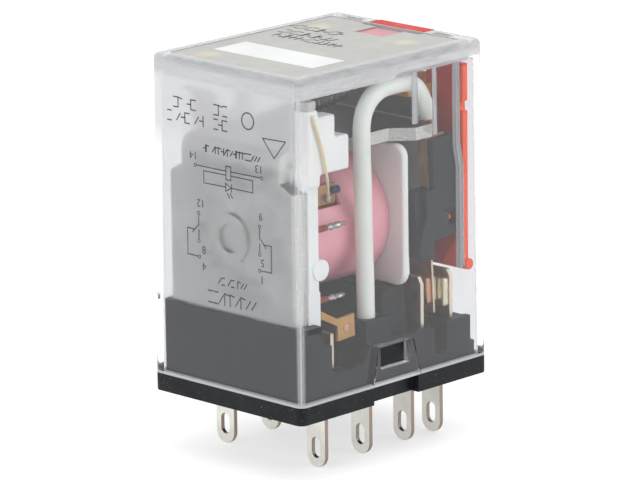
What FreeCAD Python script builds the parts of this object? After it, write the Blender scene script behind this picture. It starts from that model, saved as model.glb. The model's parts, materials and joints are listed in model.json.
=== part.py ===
import FreeCAD, Part
import math
import os

V = FreeCAD.Vector

# A two-pole plug-in relay under a clear cover. Millimetres, +Z up.
# The origin is the centre of the base flange's underside, where the relay seats in its socket.
# +X points at the contact end, -X at the coil end, and the left side is -Y.

# Overall body
LENGTH = 28.0
WIDTH = 21.5
TOP_Z = 35.8
FLANGE_Z = 1.9
CORNER_R = 0.9

# Blades: eight, in two rows
ROW_Y = 6.6
COIL_X = -7.5
COMMON_X = -0.9
NO_X = 5.45
NC_X = 9.85
BLADE_T = 0.5
BLADE_W = 2.6
BLADE_TIP_Z = -6.4
EYELET_W = 1.2
EYELET_L = 2.2
EYELET_Z = -4.3

# Clear cover
DRAFT = 0.22
WALL = 0.9
CEILING_Z = 34.8
BAND_Z = 33.7
RIM = 1.35
TOP_EDGE_R = 0.55
SLIT = 0.12
RECESS_Z = 35.3
GRIP_HALF = 4.05
GRIP_SLOT_X = 11.75

# Plug of the base
PLUG_BACK_X = -13.0
PLUG_FRONT_X = 12.8
PLUG_HALF = 9.8
SIDE_WALL = 0.75
SOCKET_HALF = 9.45
FLOOR_Z = 3.4
END_WALL_X = -10.4
END_WALL_Z = 9.8

# Magnet
STEEL = 1.4
YOKE_BACK_X = -12.6
YOKE_END_X = 7.1
YOKE_TOP_Z = 27.7
YOKE_NARROW = 7.0
YOKE_WIDE = 8.7
CORE_Z = 17.8
CORE_R = 2.6
POLE_R = 4.4
TUBE_R = 3.4
WINDING_R = 6.3
TAPE_R = 6.8
COIL_BACK_X = -9.4
COIL_FRONT_X = 3.0
BOBBIN_HALF = 8.7
BOBBIN_BACK_X = -11.15
BOBBIN_FRONT_X = 3.9
BOBBIN_LOW_Z = 11.0
BOBBIN_HIGH_Z = 26.0
BOBBIN_EDGE_R = 0.3

# Return spring
SPRING_LENGTH = 11.7
SPRING_R = 0.97
SPRING_BORE = 0.63
SPRING_WIRE_R = 0.17

# Armature: drawn closed against the pole, then swung open by OPEN_DEG about the end of the yoke
PIVOT_X = 7.1
PIVOT_Z = 27.0
OPEN_DEG = 3.2
PLATE_X = 7.25
PLATE_T = 1.2
HEAD_HALF = 6.6
HEAD_Z = 29.6
CARD_HALF = 9.0
CHEEK_IN = 7.15
SPRING_X = 6.93
SPRING_T = 0.25
CONTACT_Z = 9.6
CONTACT_Y = 6.7
CONTACT_R = 0.4

# Insulated leads
SLEEVE_R = 0.95
SLEEVE_BORE = 0.66
BRAID_R = 0.52
BRAID_TAIL = 1.75

# Red test lever
LEVER_X = 11.75
LEVER_T = 0.75
LEVER_HALF = 9.0
LEVER_LOW_Z = 11.3
LEVER_TOP_Z = 33.2

SIDES = (("left", -1), ("right", 1))


def box(x0, x1, y0, y1, z0, z1):
    """Box between two corners, given in any order."""
    low = V(min(x0, x1), min(y0, y1), min(z0, z1))
    return Part.makeBox(abs(x1 - x0), abs(y1 - y0), abs(z1 - z0), low)


def rod_x(x0, x1, y, z, radius):
    return Part.makeCylinder(radius, x1 - x0, V(x0, y, z), V(1, 0, 0))


def rod_y(x, y0, y1, z, radius):
    return Part.makeCylinder(radius, y1 - y0, V(x, y0, z), V(0, 1, 0))


def rounded_outline(half_x, half_y, z, radius):
    """Closed rounded rectangle round the origin, in a level plane."""
    x, y, r = half_x, half_y, radius
    k = r * (1 - math.sqrt(0.5))
    edges = []
    for sx, sy, turn in ((1, 1, 0), (-1, 1, 1), (-1, -1, 0), (1, -1, 1)):
        on_side = V(sx * x, sy * (y - r), z)
        on_end = V(sx * (x - r), sy * y, z)
        middle = V(sx * (x - k), sy * (y - k), z)
        first, last = (on_end, on_side) if turn else (on_side, on_end)
        edges.append((first, middle, last))
    wires = []
    for i, (first, middle, last) in enumerate(edges):
        wires.append(Part.Arc(first, middle, last).toShape())
        following = edges[(i + 1) % 4][0]
        wires.append(Part.LineSegment(last, following).toShape())
    return Part.Wire(wires)


def rounded_slab(half_x, half_y, z0, z1, radius):
    face = Part.Face(rounded_outline(half_x, half_y, z0, radius))
    return face.extrude(V(0, 0, z1 - z0))


def drafted(low, high, z0, z1, radius):
    """Solid that tapers from one rounded rectangle (half sizes) to another."""
    bottom = rounded_outline(low[0], low[1], z0, radius)
    top = rounded_outline(high[0], high[1], z1, radius)
    return Part.makeLoft([bottom, top], True, True)


def profile_y(points, y0, y1):
    """Outline in the XZ plane, extruded along Y."""
    ring = [V(x, y0, z) for x, z in points]
    face = Part.Face(Part.makePolygon(ring + ring[:1]))
    return face.extrude(V(0, y1 - y0, 0))


def profile_x(points, x0, x1):
    """Outline in the YZ plane, extruded along X."""
    ring = [V(x0, y, z) for y, z in points]
    face = Part.Face(Part.makePolygon(ring + ring[:1]))
    return face.extrude(V(x1 - x0, 0, 0))


def mirrored(shape):
    return shape.mirror(V(0, 0, 0), V(0, 1, 0))


def both_sides(shape):
    """A left-hand feature together with its right-hand twin."""
    return [shape, mirrored(shape)]


def cut_all(shape, tools):
    for tool in tools:
        shape = shape.cut(tool)
    return shape


def joined(shapes):
    whole = shapes[0].fuse(shapes[1:])
    return whole.removeSplitter()


def upright_slab(half_y, half_z, x0, x1, y, z, radius):
    """Slab from x0 to x1 with rounded corners, centred on y and z."""
    slab = rounded_slab(half_y, half_z, 0, x1 - x0, radius)
    slab.rotate(V(0, 0, 0), V(0, 0, 1), 90)
    slab.rotate(V(0, 0, 0), V(0, 1, 0), 90)
    slab.translate(V(x0, y, z))
    return slab


def softened_level(shape, z, radius):
    """Round every edge that lies in the level plane z."""
    picked = [e for e in shape.Edges if all(abs(v.Z - z) < 1e-6 for v in e.Vertexes)]
    return shape.makeFillet(radius, picked)


def swung_open(shape):
    """Turn a piece of the armature from its closed place to its resting one."""
    turned = shape.copy()
    turned.rotate(V(PIVOT_X, 0, PIVOT_Z), V(0, 1, 0), -OPEN_DEG)
    return turned


def path_round(points, radii):
    """Straight runs through points, joined by tangent arcs of the given radii."""
    edges = []
    start = points[0]
    for i, radius in enumerate(radii):
        corner = points[i + 1]
        back = (points[i] - corner).normalize()
        ahead = (points[i + 2] - corner).normalize()
        half = back.getAngle(ahead) / 2
        run = radius / math.tan(half)
        inwards = (back + ahead).normalize()
        entry = corner + back * run
        leave = corner + ahead * run
        centre = corner + inwards * (radius / math.sin(half))
        edges.append(Part.LineSegment(start, entry).toShape())
        edges.append(Part.Arc(entry, centre - inwards * radius, leave).toShape())
        start = leave
    edges.append(Part.LineSegment(start, points[-1]).toShape())
    return Part.Wire(edges)


def tube_along(path, radius):
    first = path.Edges[0]
    heading = first.tangentAt(first.FirstParameter)
    ring = Part.Wire(Part.makeCircle(radius, path.Vertexes[0].Point, heading))
    return path.makePipeShell([ring], True, False)


# ---------------------------------------------------------------- terminals

def blade(x, top_z):
    """Left-hand blade with a rounded tip and an oblong eyelet, up to top_z."""
    half = BLADE_W / 2
    round_z = BLADE_TIP_Z + half
    strip = box(x - BLADE_T / 2, x + BLADE_T / 2, -ROW_Y - half, -ROW_Y + half, round_z, top_z)
    tip = rod_x(x - BLADE_T / 2, x + BLADE_T / 2, -ROW_Y, round_z, half)
    body = joined([strip, tip])
    end = (EYELET_L - EYELET_W) / 2
    slot = [box(x - 1, x + 1, -ROW_Y - EYELET_W / 2, -ROW_Y + EYELET_W / 2, EYELET_Z - end, EYELET_Z + end)]
    slot += [rod_x(x - 1, x + 1, -ROW_Y, EYELET_Z + s * end, EYELET_W / 2) for s in (-1, 1)]
    return cut_all(body, slot)


def contact_terminal(x, strip_low_z, strip_top_z, lean):
    """Blade that widens into the strip of a fixed contact, its lip bent over at the top."""
    root = blade(x, strip_low_z)
    left, right = x - BLADE_T / 2, x + BLADE_T / 2
    lip_z = strip_top_z - 0.9
    outline = [(left, strip_low_z), (right, strip_low_z), (right, lip_z),
               (right - lean, strip_top_z), (left - lean, strip_top_z), (left, lip_z)]
    return joined([root, profile_y(outline, -8.95, -5.0)])


def coil_terminal():
    return joined([blade(COIL_X, 8.2), box(COIL_X - 0.25, COIL_X + 0.25, -8.45, -6.6, 4.5, 8.2)])


def coil_tab():
    """Brass strip from the bobbin down to the coil blade, with its spot weld."""
    outline = [(-9.35, 10.95), (-9.35, 10.1), (-7.05, 8.9), (-7.05, 7.3), (-4.5, 7.45),
               (-4.6, 9.85), (-7.05, 9.7)]
    strip = profile_y(outline, -8.85, -8.45)
    weld = rod_y(-5.75, -8.98, -8.85, 8.5, 0.48)
    return joined([strip, weld])


def common_terminal():
    return joined([blade(COMMON_X, 6.6), box(-2.3, -0.65, -7.9, -7.4, 5.4, 6.6)])


def fixed_contact(x0, x1, y, z, half_y, half_z):
    """Contact bar on a terminal strip."""
    return upright_slab(half_y, half_z, x0, x1, y, z, CONTACT_R)


# ---------------------------------------------------------------- base and cover

def side_wall():
    """Left long wall of the plug, with its pocket, middle rail and open gap."""
    outline = [(PLUG_BACK_X, FLANGE_Z), (PLUG_BACK_X, END_WALL_Z), (-10.4, END_WALL_Z), (-10.3, 7.9),
               (-8.9, 7.5), (-8.9, 4.4), (-4.8, 4.4), (-3.9, 4.9), (-3.6, 5.8), (-3.4, 6.3),
               (6.4, 6.3), (6.5, 3.4), (8.2, 3.4), (8.2, 6.5), (11.9, 6.5), (11.9, 3.6),
               (PLUG_FRONT_X, 3.6), (PLUG_FRONT_X, FLANGE_Z)]
    return profile_y(outline, -PLUG_HALF, -PLUG_HALF + SIDE_WALL)


def latch_nub():
    """Wedge on the left wall that snaps into the cover's window."""
    outline = [(-PLUG_HALF, 3.75), (-PLUG_HALF - 0.7, 3.9), (-PLUG_HALF - 0.7, 4.6), (-PLUG_HALF, 5.8)]
    return profile_x(outline, -2.2, 1.3)


def base(tools):
    flange = rounded_slab(LENGTH / 2, WIDTH / 2, 0, FLANGE_Z, CORNER_R)
    flange = cut_all(flange, both_sides(box(-3.3, 3.3, -WIDTH / 2, -WIDTH / 2 + 1.0, 0, FLANGE_Z)))
    inner = PLUG_HALF - SIDE_WALL
    floor = box(PLUG_BACK_X, PLUG_FRONT_X, -PLUG_HALF, PLUG_HALF, FLANGE_Z, FLOOR_Z)
    end_wall = box(PLUG_BACK_X, END_WALL_X, -PLUG_HALF, PLUG_HALF, FLOOR_Z, END_WALL_Z)
    bobbin_seat = box(0.8, 4.4, -7.6, 7.6, FLOOR_Z, BOBBIN_LOW_Z - 0.1)
    barrier = box(4.4, 11.4, -0.5, 0.5, FLOOR_Z, 11.6)
    front_sill = box(11.9, PLUG_FRONT_X, -PLUG_HALF, PLUG_HALF, FLOOR_Z, 3.6)
    pieces = [floor, end_wall, bobbin_seat, barrier, front_sill]
    left = [side_wall(),
            box(-3.5, 0.1, -SOCKET_HALF, -4.9, FLOOR_Z, 8.8),
            box(4.4, 6.4, -inner, -4.6, FLOOR_Z, 5.0),
            profile_y([(8.2, FLOOR_Z), (11.9, FLOOR_Z), (11.9, 6.05), (11.77, 6.37), (11.45, 6.5),
                       (8.2, 6.5)], -inner, -4.4),
            box(-8.6, -6.4, -7.9, -4.9, FLOOR_Z, 4.4)]
    for shape in left:
        pieces += both_sides(shape)
    plug_length = PLUG_FRONT_X - PLUG_BACK_X
    envelope = rounded_slab(plug_length / 2, PLUG_HALF, FLANGE_Z, 12.0, 0.6)
    envelope.translate(V((PLUG_FRONT_X + PLUG_BACK_X) / 2, 0, 0))
    plug = joined(pieces).common(envelope)
    return cut_all(joined([flange, plug] + both_sides(latch_nub())), tools)


def sleeve_wells():
    """Round wells in the two lead sockets, down to the common strips."""
    return both_sides(tube_along(lead_path(0), SLEEVE_R))


def cover_rails():
    """Low rails inside the left wall that guide the test lever and the leads."""
    rail = profile_y([(10.0, 33.7), (10.0, 24.9), (10.45, 22.6), (10.45, 11.8), (11.05, 11.8),
                      (11.05, 22.9), (10.55, 25.2), (10.55, 33.7)], -10.2, -9.15)
    short = box(3.6, 4.25, -10.2, -9.42, 28.3, BAND_Z)
    tall = box(6.65, 7.1, -10.2, -9.42, 26.7, BAND_Z)
    return [rail, short, tall]


def tongue_slits():
    """Thin slanted slits that free the latch tongue of the left wall."""
    slits = []
    for top_x, low_x in ((-2.65, -3.45), (2.52, 3.67)):
        outline = [(top_x, 5.95), (top_x + SLIT, 5.95), (low_x + SLIT, FLANGE_Z), (low_x, FLANGE_Z)]
        slits.append(profile_y(outline, -WIDTH / 2, -PLUG_HALF))
    return slits


def clear_cover():
    low = (LENGTH / 2, WIDTH / 2)
    high = (LENGTH / 2 - DRAFT, WIDTH / 2 - DRAFT)
    outer = softened_level(drafted(low, high, FLANGE_Z, TOP_Z, CORNER_R), TOP_Z, TOP_EDGE_R)
    cavity_low = (low[0] - WALL, low[1] - WALL)
    cavity_high = (high[0] - WALL, high[1] - WALL)
    cavity = drafted(cavity_low, cavity_high, FLANGE_Z, BAND_Z, 0.4)
    band = rounded_slab(12.65, 9.3, BAND_Z - 0.01, CEILING_Z, 0.4)
    recess = rounded_slab(12.0, high[1] - RIM, RECESS_Z, TOP_Z, 0.5)
    recess.translate(V(-0.4, 0, 0))
    latch = box(-2.3, 2.1, -WIDTH / 2, -PLUG_HALF, 3.6, 5.95)
    vent = box(11.85, 12.55, -7.5, -5.1, CEILING_Z, TOP_Z)
    grip = box(GRIP_SLOT_X, LENGTH / 2, -GRIP_HALF, GRIP_HALF, 31.8, TOP_Z)
    shell = cut_all(outer, [cavity, band, recess])
    rails = []
    for shape in cover_rails():
        rails += both_sides(shape)
    rails = [rail.common(outer) for rail in rails]
    shell = joined([shell] + rails)
    openings = [latch, vent] + tongue_slits()
    return cut_all(shell, openings + [mirrored(opening) for opening in openings] + [grip])


def top_label_plate():
    plate = rounded_slab(11.95, WIDTH / 2 - DRAFT - RIM - 0.05, RECESS_Z, 35.72, 0.45)
    plate.translate(V(-0.4, 0, 0))
    window = box(7.6, 11.2, -2.05, 2.05, RECESS_Z, TOP_Z)
    grip = box(GRIP_SLOT_X - 0.9, LENGTH / 2, -GRIP_HALF - 0.1, GRIP_HALF + 0.1, RECESS_Z, TOP_Z)
    return cut_all(plate, [window, grip])


# ---------------------------------------------------------------- magnet

def yoke():
    leg_in = YOKE_BACK_X + STEEL
    under = YOKE_TOP_Z - STEEL
    low = profile_x([(-YOKE_WIDE, END_WALL_Z), (YOKE_WIDE, END_WALL_Z), (YOKE_WIDE, 23.6),
                     (YOKE_NARROW, 24.6), (YOKE_NARROW, under), (-YOKE_NARROW, under),
                     (-YOKE_NARROW, 24.6), (-YOKE_WIDE, 23.6)], YOKE_BACK_X, leg_in)
    top_outline = [(leg_in, -YOKE_NARROW), (2.6, -YOKE_NARROW), (4.7, -9.0), (YOKE_END_X, -9.0),
                   (YOKE_END_X, 9.0), (4.7, 9.0), (2.6, YOKE_NARROW), (leg_in, YOKE_NARROW)]
    ring = [V(x, y, under) for x, y in top_outline]
    top = Part.Face(Part.makePolygon(ring + ring[:1])).extrude(V(0, 0, STEEL))
    bend = rod_y(leg_in, -YOKE_NARROW, YOKE_NARROW, under, STEEL)
    bend = bend.common(box(YOKE_BACK_X, leg_in, -9, 9, under, YOKE_TOP_Z))
    tangs = both_sides(box(YOKE_BACK_X, leg_in, -6.5, -3.5, 4.5, END_WALL_Z))
    post = Part.makeCylinder(0.45, 1.9, V(-9.2, 0, YOKE_TOP_Z))
    body = joined([low, top, bend, post] + tangs)
    return cut_all(body, [rod_x(YOKE_BACK_X, leg_in, 0, CORE_Z, CORE_R - 0.6)])


def core():
    leg_in = YOKE_BACK_X + STEEL
    rod = rod_x(leg_in, YOKE_END_X, 0, CORE_Z, CORE_R)
    neck = rod_x(YOKE_BACK_X, leg_in, 0, CORE_Z, CORE_R - 0.6)
    stake = rod_x(YOKE_BACK_X - 0.25, YOKE_BACK_X, 0, CORE_Z, CORE_R)
    head = rod_x(4.4, YOKE_END_X, 0, CORE_Z, POLE_R)
    dimple = rod_x(YOKE_BACK_X - 0.3, YOKE_BACK_X + 0.1, 0, CORE_Z, 1.5)
    return cut_all(joined([rod, neck, stake, head]), [dimple, shading_ring()])


def shading_ring():
    """Copper half ring in the upper part of the pole face."""
    ring = rod_x(6.2, YOKE_END_X, 0, CORE_Z, 3.5).cut(rod_x(6.2, YOKE_END_X, 0, CORE_Z, 2.7))
    upper = ring.common(box(6.2, YOKE_END_X, -5, 5, CORE_Z, 30))
    bar = box(6.2, YOKE_END_X, -3.45, 3.45, CORE_Z - 0.4, CORE_Z + 0.4)
    return joined([upper, bar])


def bobbin():
    bore = rod_x(BOBBIN_BACK_X, BOBBIN_FRONT_X, 0, CORE_Z, CORE_R + 0.05)
    tube = rod_x(BOBBIN_BACK_X, BOBBIN_FRONT_X, 0, CORE_Z, TUBE_R)
    pieces = [tube]
    for x0, x1 in ((BOBBIN_BACK_X, COIL_BACK_X), (COIL_FRONT_X, BOBBIN_FRONT_X)):
        slab = rounded_slab(BOBBIN_HALF, (BOBBIN_HIGH_Z - BOBBIN_LOW_Z) / 2, 0, x1 - x0, 1.4)
        slab = softened_level(softened_level(slab, 0, BOBBIN_EDGE_R), x1 - x0, BOBBIN_EDGE_R)
        slab.rotate(V(0, 0, 0), V(0, 0, 1), 90)
        slab.rotate(V(0, 0, 0), V(0, 1, 0), 90)
        slab.translate(V(x0, 0, (BOBBIN_HIGH_Z + BOBBIN_LOW_Z) / 2))
        pieces.append(slab)
    stairs = profile_y([(-11.0, 24.0), (-9.4, 24.0), (-9.4, 25.2), (-5.2, 25.2), (-5.2, 28.8), (-7.2, 28.8),
                        (-7.2, 31.2), (-9.6, 31.2), (-9.6, 32.0), (-11.0, 32.0)], -9.0, -7.05)
    stairs = stairs.makeFillet(BOBBIN_EDGE_R, stairs.Edges)
    foot = box(BOBBIN_BACK_X, COIL_BACK_X, -BOBBIN_HALF, -7.2, 8.0, 13.0)
    boss = rod_y(-9.4, -8.9, -7.2, 15.3, 1.1)
    for shape in (stairs, foot, boss):
        pieces += both_sides(shape)
    return joined(pieces).cut(bore)


def tape_window():
    return box(COIL_BACK_X, -3.6, -8.0, -4.8, 20.7, 23.0)


def coil_ring(inner, outer):
    ring = rod_x(COIL_BACK_X, COIL_FRONT_X, 0, CORE_Z, outer)
    ring = ring.cut(rod_x(COIL_BACK_X, COIL_FRONT_X, 0, CORE_Z, inner))
    return ring.cut(tape_window())


def coil_pins():
    """Winding-end pins that stick out of the back flange, two on each side."""
    pins = []
    for y, z, x1 in ((-7.45, 19.1, -4.2), (-7.45, 11.6, -4.6)):
        pins += both_sides(rod_x(COIL_BACK_X, x1, y, z, 0.3))
    return Part.makeCompound(pins)


def return_spring():
    """Tension spring on top of the yoke, its close coils drawn as a tube, with a tail at each end."""
    start, end = V(-8.2, 0, 29.0), V(7.25, 0, 31.05)
    reach = (end - start).Length + 1.5
    coils = Part.makeCylinder(SPRING_R, SPRING_LENGTH).cut(Part.makeCylinder(SPRING_BORE, SPRING_LENGTH))
    offset = (SPRING_R + SPRING_BORE) / 2
    back_tail = Part.makeCylinder(SPRING_WIRE_R, 0.6, V(offset, 0, -0.45))
    front_length = reach - SPRING_LENGTH + 0.1
    front_tail = Part.makeCylinder(SPRING_WIRE_R, front_length, V(offset, 0, SPRING_LENGTH - 0.1))
    bead = Part.makeSphere(0.5, V(offset, 0, reach))
    spring = joined([coils, back_tail, front_tail, bead])
    spring.Placement = FreeCAD.Placement(start, FreeCAD.Rotation(V(0, 0, 1), end - start))
    return spring


# ---------------------------------------------------------------- armature

def armature_plate():
    slab = box(PLATE_X, PLATE_X + PLATE_T, -7.0, 7.0, 13.0, 27.5)
    head = upright_slab(HEAD_HALF, HEAD_Z - 26.0, PLATE_X, PLATE_X + PLATE_T, 0, 26.0, 1.3)
    head = head.common(box(PLATE_X, PLATE_X + PLATE_T, -HEAD_HALF, HEAD_HALF, 27.4, HEAD_Z))
    tab = box(PLATE_X, PLATE_X + PLATE_T, -2.0, 2.0, 27.5, 31.0)
    slot = box(PLATE_X, PLATE_X + PLATE_T, -0.45, 0.45, 29.6, 30.9)
    return joined([slab, head, tab]).cut(slot)


def moving_spring():
    x0, x1 = SPRING_X - SPRING_T / 2, SPRING_X + SPRING_T / 2
    wide = box(x0, x1, -8.25, -5.1, 7.2, 14.9)
    tail = box(x0, x1, -8.25, -7.2, 14.9, 26.2)
    lug = box(x0, 9.6, -8.25, -7.2, 25.95, 26.2)
    return joined([wide, tail, lug])


def moving_contact():
    x0, x1 = SPRING_X - SPRING_T / 2, SPRING_X + SPRING_T / 2
    return upright_slab(1.3, 1.5, x0 - 0.6, x1 + 0.72, -CONTACT_Y, CONTACT_Z, CONTACT_R)


def armature_card():
    face = profile_y([(7.06, 25.95), (10.5, 25.95), (10.3, 15.3), (6.75, 15.1), (6.7, 13.1), (4.5, 13.6),
                      (4.5, 15.4), (5.7, 17.8), (5.7, 20.7), (7.06, 20.7)], -CARD_HALF, -8.2)
    deep = profile_y([(7.06, 25.95), (10.5, 25.95), (10.3, 15.3), (6.75, 15.1), (6.7, 13.1), (4.8, 13.6),
                      (4.8, 20.7), (7.06, 20.7)], -8.2, -CHEEK_IN)
    web = box(PLATE_X + PLATE_T, 10.3, -CHEEK_IN, CHEEK_IN, 15.4, 24.0)
    notch = box(9.0, 10.0, -CARD_HALF, -8.3, 16.4, 17.8)
    step = box(8.1, 9.6, -CARD_HALF, -CARD_HALF + 0.15, 18.0, 18.2)
    cheeks = []
    for shape in (face, deep):
        cheeks += both_sides(shape)
    card = joined([web] + cheeks)
    springs = both_sides(moving_spring())
    return cut_all(card, both_sides(notch) + both_sides(step) + springs)


def operating_tab():
    """Amber tab clipped over the top of the armature; pressed down, it closes the relay."""
    shelf = box(7.9, 11.5, -5.0, 5.0, 29.3, 30.5)
    nose = box(11.5, 12.75, -3.4, 3.4, 29.3, 30.5)
    lip = box(12.2, 12.75, -3.4, 3.4, 30.5, 31.2)
    clip = box(PLATE_X + PLATE_T, 9.6, -2.6, 2.6, 27.9, 29.3)
    room = box(7.0, PLATE_X + PLATE_T, -2.0, 2.0, 27.5, 31.5)
    head_room = box(7.0, PLATE_X + PLATE_T, -HEAD_HALF, HEAD_HALF, 27.5, HEAD_Z + 0.05)
    hook_room = box(PLATE_X + PLATE_T, 9.9, -0.8, 0.8, 29.0, 31.5)
    return cut_all(joined([shelf, nose, lip, clip]), [room, head_room, hook_room])


# ---------------------------------------------------------------- leads and indicator

def lead_path(beyond):
    """Route of the left lead: up from its socket, over the yoke and down to the armature.
    The last run goes on past the sleeve's end by the given length."""
    points = [V(-1.95, -8.0, 6.65), V(-2.75, -8.25, 32.4), V(5.6, -8.1, 32.5), V(7.75, -7.8, 28.3)]
    heading = (points[3] - points[2]).normalize()
    return path_round(points[:3] + [points[3] + heading * beyond], (3.5, 3.0))


def lead_sleeve():
    return tube_along(lead_path(0), SLEEVE_R).cut(tube_along(lead_path(0), SLEEVE_BORE))


def flex_lead():
    return tube_along(lead_path(BRAID_TAIL), BRAID_R)


def indicator_board():
    return box(COIL_BACK_X, -3.7, -5.5, -4.85, 20.8, 22.9)


def indicator_resistor():
    return rod_x(-4.75, -3.75, -5.95, 22.3, 0.42)


def indicator_led():
    return box(-10.9, -9.7, -8.7, -7.4, 32.0, 32.9)


def indicator_wire():
    """Flat lead from the lamp, down past the stepped block to its solder blob on the board."""
    route = [V(-10.8, -9.27, 31.6), V(-9.5, -9.27, 28.0), V(-8.8, -9.35, 24.7), V(-5.3, -6.05, 21.6)]
    wire = tube_along(path_round(route, (3.0, 0.8)), 0.2)
    blob = Part.makeSphere(0.42, route[-1])
    return joined([wire, blob])


# ---------------------------------------------------------------- test lever

def test_lever():
    back, front = LEVER_X, LEVER_X + LEVER_T
    plate = box(back, front, -LEVER_HALF, LEVER_HALF, LEVER_LOW_Z, LEVER_TOP_Z)
    grip = box(back + 0.15, 13.55, -3.85, 3.85, LEVER_TOP_Z - 1.0, TOP_Z)
    flag = box(8.0, back, -1.95, 1.95, 32.3, LEVER_TOP_Z)
    window = box(back, front, -3.8, 3.8, 27.4, 31.9)
    detent = box(back, front, -LEVER_HALF, -LEVER_HALF + 0.35, 28.2, 29.2)
    foot = rod_y(front - 0.2, -LEVER_HALF - 0.35, -LEVER_HALF + 0.4, LEVER_LOW_Z + 0.5, 0.6)
    body = joined([plate, grip, flag] + both_sides(foot))
    return cut_all(body, [window] + both_sides(detent))


# ---------------------------------------------------------------- assembly

def assembly():
    nodes = {}
    no_face, nc_face = NO_X + BLADE_T / 2, NC_X - BLADE_T / 2
    one_sided = {
        "coil_terminal": coil_terminal(),
        "coil_tab": coil_tab(),
        "common_terminal": common_terminal(),
        "no_terminal": contact_terminal(NO_X, 3.6, 11.8, 0.45),
        "nc_terminal": contact_terminal(NC_X, 3.6, 11.8, 0.45),
        "no_contact": fixed_contact(no_face, no_face + 0.4, -CONTACT_Y, CONTACT_Z, 1.5, 1.6),
        "nc_contact": fixed_contact(nc_face - 0.72, nc_face, -6.95, 9.25, 1.85, 1.62),
        "lead_sleeve": lead_sleeve(),
        "flex_lead": flex_lead(),
    }
    contact = moving_contact()
    swinging = {"moving_spring": moving_spring().cut(contact), "moving_contact": contact}
    for name, shape in swinging.items():
        one_sided[name] = swung_open(shape)
    for name, shape in one_sided.items():
        for side, sign in SIDES:
            nodes[name + "_" + side] = shape if sign < 0 else mirrored(shape)
    nodes["armature_plate"] = swung_open(armature_plate())
    nodes["armature_card"] = swung_open(armature_card())
    nodes["operating_tab"] = swung_open(operating_tab())
    nodes["yoke"] = yoke()
    nodes["core"] = core()
    nodes["shading_ring"] = shading_ring()
    nodes["bobbin"] = bobbin()
    nodes["coil_winding"] = coil_ring(TUBE_R, WINDING_R)
    nodes["coil_tape"] = coil_ring(WINDING_R, TAPE_R)
    nodes["coil_pins"] = coil_pins()
    nodes["return_spring"] = return_spring()
    nodes["indicator_board"] = indicator_board()
    nodes["indicator_resistor"] = indicator_resistor()
    nodes["indicator_led"] = indicator_led()
    nodes["indicator_wire"] = indicator_wire()
    nodes["test_lever"] = test_lever()
    nodes["clear_cover"] = clear_cover()
    nodes["top_label_plate"] = top_label_plate()
    terminals = [nodes[n + "_" + side] for n in ("coil_terminal", "common_terminal", "no_terminal",
                                                 "nc_terminal") for side, _ in SIDES]
    nodes["base"] = base(terminals + sleeve_wells() + [nodes["yoke"], nodes["bobbin"]])
    return nodes


os.makedirs("parts", exist_ok=True)
for node, shape in assembly().items():
    shape.exportStep("parts/" + node + ".step")
    print(node, shape.ShapeType, len(shape.Solids), round(shape.Volume, 3), shape.isValid())
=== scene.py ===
import json
import math
import random

import bmesh
import bpy
from mathutils import Matrix, Vector


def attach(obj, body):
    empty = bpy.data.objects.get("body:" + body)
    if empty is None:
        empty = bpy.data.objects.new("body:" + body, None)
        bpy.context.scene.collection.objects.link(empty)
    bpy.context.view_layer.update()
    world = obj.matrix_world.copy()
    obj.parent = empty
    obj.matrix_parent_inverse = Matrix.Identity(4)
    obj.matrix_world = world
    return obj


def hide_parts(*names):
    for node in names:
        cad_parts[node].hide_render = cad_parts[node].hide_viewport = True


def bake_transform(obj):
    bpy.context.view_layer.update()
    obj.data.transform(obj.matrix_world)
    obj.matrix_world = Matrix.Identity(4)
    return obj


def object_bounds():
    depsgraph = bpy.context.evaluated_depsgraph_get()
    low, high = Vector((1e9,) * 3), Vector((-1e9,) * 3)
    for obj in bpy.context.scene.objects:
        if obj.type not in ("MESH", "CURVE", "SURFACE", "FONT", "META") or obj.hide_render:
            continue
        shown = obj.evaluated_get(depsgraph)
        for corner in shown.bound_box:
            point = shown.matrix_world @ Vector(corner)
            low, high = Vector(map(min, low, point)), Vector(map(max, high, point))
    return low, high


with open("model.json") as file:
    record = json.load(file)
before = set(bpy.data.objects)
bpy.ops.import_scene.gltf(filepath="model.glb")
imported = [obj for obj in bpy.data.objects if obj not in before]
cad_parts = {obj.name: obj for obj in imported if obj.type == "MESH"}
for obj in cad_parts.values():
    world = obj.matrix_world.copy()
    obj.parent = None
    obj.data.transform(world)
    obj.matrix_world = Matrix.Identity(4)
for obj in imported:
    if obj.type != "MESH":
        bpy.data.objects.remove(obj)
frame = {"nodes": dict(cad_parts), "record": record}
CAD_LOW, CAD_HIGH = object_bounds()
NODES = frame["nodes"]
MM = 0.001
SIDES = (("left", -1), ("right", 1))

# ------------------------------------------------------------------ colours and node helpers


def srgb(red, green, blue):
    """Linear colour with alpha from 0-255 display values."""
    def linear(value):
        v = value / 255
        return v / 12.92 if v <= 0.04045 else ((v + 0.055) / 1.055) ** 2.4
    return (linear(red), linear(green), linear(blue), 1.0)


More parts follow.
